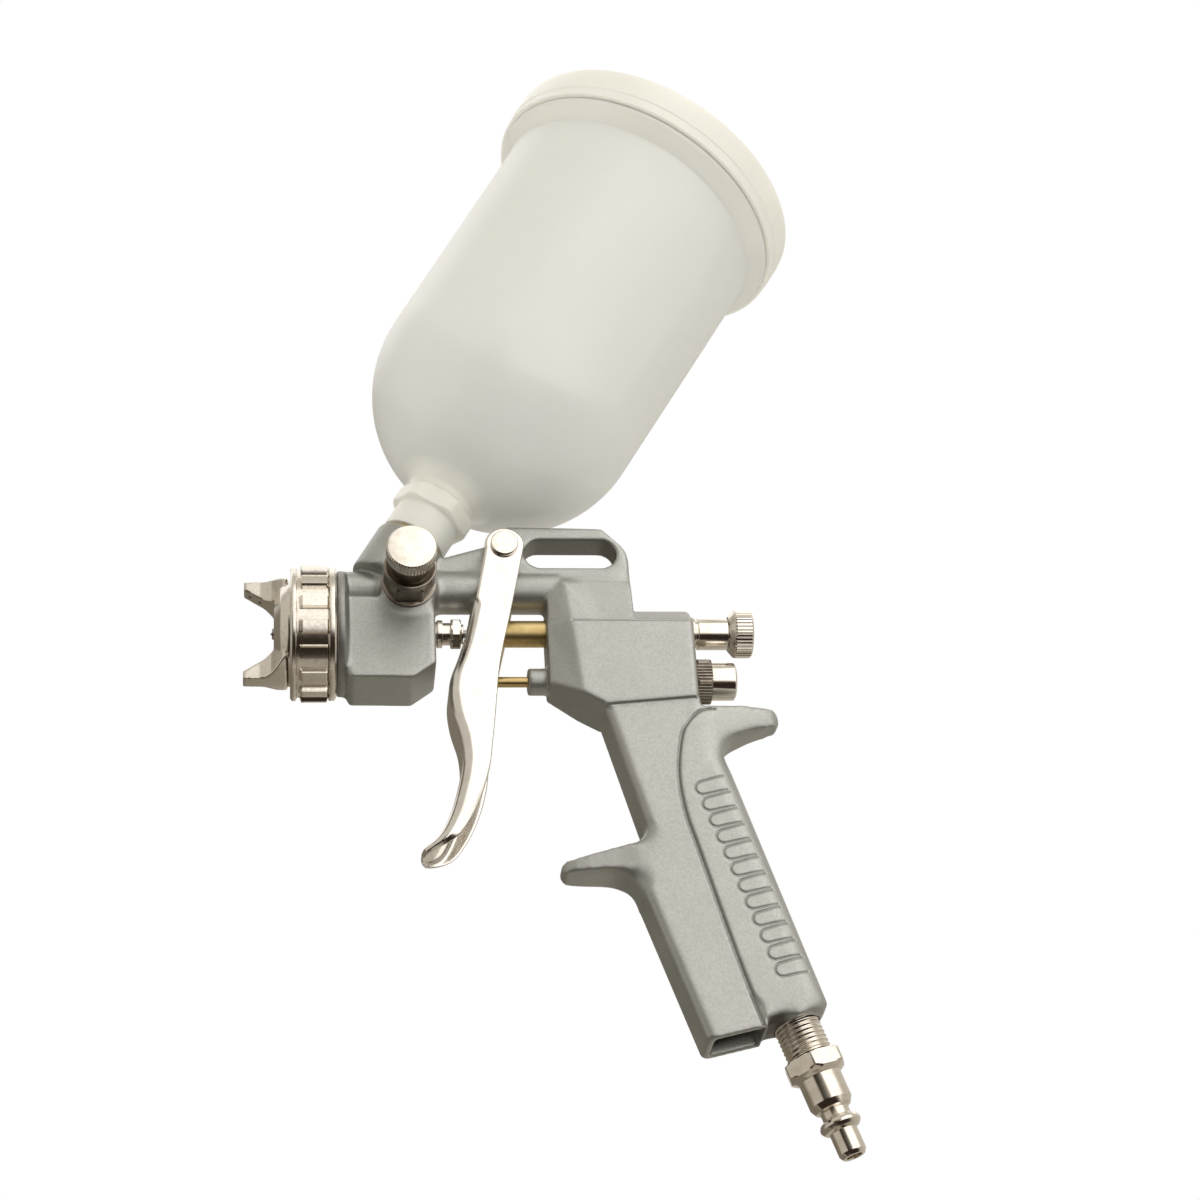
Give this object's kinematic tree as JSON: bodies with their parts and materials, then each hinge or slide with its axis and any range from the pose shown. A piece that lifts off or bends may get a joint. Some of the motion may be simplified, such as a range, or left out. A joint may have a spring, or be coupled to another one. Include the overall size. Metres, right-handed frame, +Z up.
{
  "type": "gravity feed spray gun",
  "caption": "Gravity-feed HVLP paint spray gun: leaning plastic cup, air cap with horns, pull trigger working the needle and air valve, turning fluid and pattern knobs, threaded air inlet with plug.",
  "frame": {"origin": "middle of the ceiling of the hanging slot above the trigger", "axes": "+Z up, -X the way it sprays, the needle's axis parallel to X; Y = 0 is the gun's middle plane and -Y the side with the pattern knob"},
  "size_m": [0.1767, 0.1014, 0.363],
  "materials": {
    "cast_body": "bead-blasted die casting, satin, warm grey",
    "plated_fittings": "bright warm nickel plate, turned and knurled",
    "polished_trigger": "polished and plated",
    "brass_parts": "turned, unlacquered",
    "steel_parts": "turned stainless steel",
    "milky_plastic": "translucent creamy off-white moulding",
    "white_plastic": "white moulding",
    "seals": "matt black"
  },
  "bodies": {
    "gun": {"gun_body": "cast_body", "fluid_nozzle": "steel_parts", "nozzle_gasket": "seals", "air_baffle": "white_plastic", "packing_nut": "plated_fittings", "needle_packing": "seals", "fluid_knob_bushing": "plated_fittings", "air_valve_packing": "seals", "air_valve_seat": "brass_parts", "air_valve_spring": "steel_parts", "air_valve_plug": "plated_fittings", "trigger_pivot_screw": "polished_trigger", "trigger_pivot_nut": "polished_trigger", "fan_valve_body": "plated_fittings", "cup_adapter": "brass_parts", "cup": "milky_plastic", "cup_filter": "white_plastic", "inlet_nipple": "plated_fittings", "inlet_gasket": "seals", "quick_plug": "steel_parts"},
    "trigger": {"trigger": "polished_trigger"},
    "needle": {"fluid_needle": "steel_parts", "needle_sleeve": "brass_parts"},
    "air_stem": {"air_valve_stem": "brass_parts", "air_valve_seal": "seals"},
    "fluid_adjuster": {"needle_spring_seat": "steel_parts", "needle_spring": "steel_parts"},
    "fluid_knob": {"fluid_knob": "plated_fittings"},
    "pattern_adjuster": {"fan_valve_oring": "seals"},
    "pattern_knob": {"fan_valve_knob": "plated_fittings", "fan_valve_stem": "steel_parts"},
    "air_cap": {"air_cap": "plated_fittings"},
    "air_cap_ring": {"air_cap_ring": "plated_fittings"},
    "cup_lid": {"cup_lid": "milky_plastic"}
  },
  "joints": [
    {"name": "trigger_pivot", "type": "hinge", "parent": "gun", "child": "trigger", "pos_m": [-0.02095, 0, -0.0048], "axis": [0, -1, 0], "range_deg": [0, 11], "stiffness_Nm_per_rad": 3, "springref_deg": -8.59},
    {"name": "needle_slide", "type": "slide", "parent": "gun", "child": "needle", "axis": [1, 0, 0], "range_m": [0, 0.0056], "deforming": ["needle_spring"]},
    {"name": "air_stem_slide", "type": "slide", "parent": "gun", "child": "air_stem", "axis": [1, 0, 0], "range_m": [0, 0.0092], "deforming": ["air_valve_spring"]},
    {"name": "fluid_knob_travel", "type": "slide", "parent": "gun", "child": "fluid_adjuster", "axis": [1, 0, 0], "range_m": [0, 0.0031]},
    {"name": "fluid_knob_turn", "type": "hinge", "parent": "fluid_adjuster", "child": "fluid_knob", "pos_m": [0.0506, 0, -0.0308], "axis": [1, 0, 0], "range_deg": [0, 1080]},
    {"name": "pattern_knob_travel", "type": "slide", "parent": "gun", "child": "pattern_adjuster", "axis": [0, -1, 0], "range_m": [0, 0.0021]},
    {"name": "pattern_knob_turn", "type": "hinge", "parent": "pattern_adjuster", "child": "pattern_knob", "pos_m": [-0.05015, -0.03, -0.0198], "axis": [0, -1, 0], "range_deg": [0, 720]},
    {"name": "air_cap_turn", "type": "hinge", "parent": "gun", "child": "air_cap", "pos_m": [-0.08345, 0, -0.0308], "axis": [1, 0, 0], "range_deg": [-90, 90]},
    {"name": "air_cap_ring_turn", "type": "hinge", "parent": "gun", "child": "air_cap_ring", "pos_m": [-0.07845, 0, -0.0308], "axis": [1, 0, 0], "continuous": true},
    {"name": "lid_lift", "type": "slide", "parent": "gun", "child": "cup_lid", "axis": [0.506, 0, 0.8625], "range_m": [0, 0.03]}
  ],
  "couplings": [
    {"joint": "needle_slide", "follows": "trigger_pivot", "m_per_rad": 0.029},
    {"joint": "air_stem_slide", "follows": "trigger_pivot", "m_per_rad": 0.0475},
    {"joint": "fluid_knob_travel", "follows": "fluid_knob_turn", "m_per_rad": 0.00015915},
    {"joint": "pattern_knob_travel", "follows": "pattern_knob_turn", "m_per_rad": 0.00015915}
  ]
}
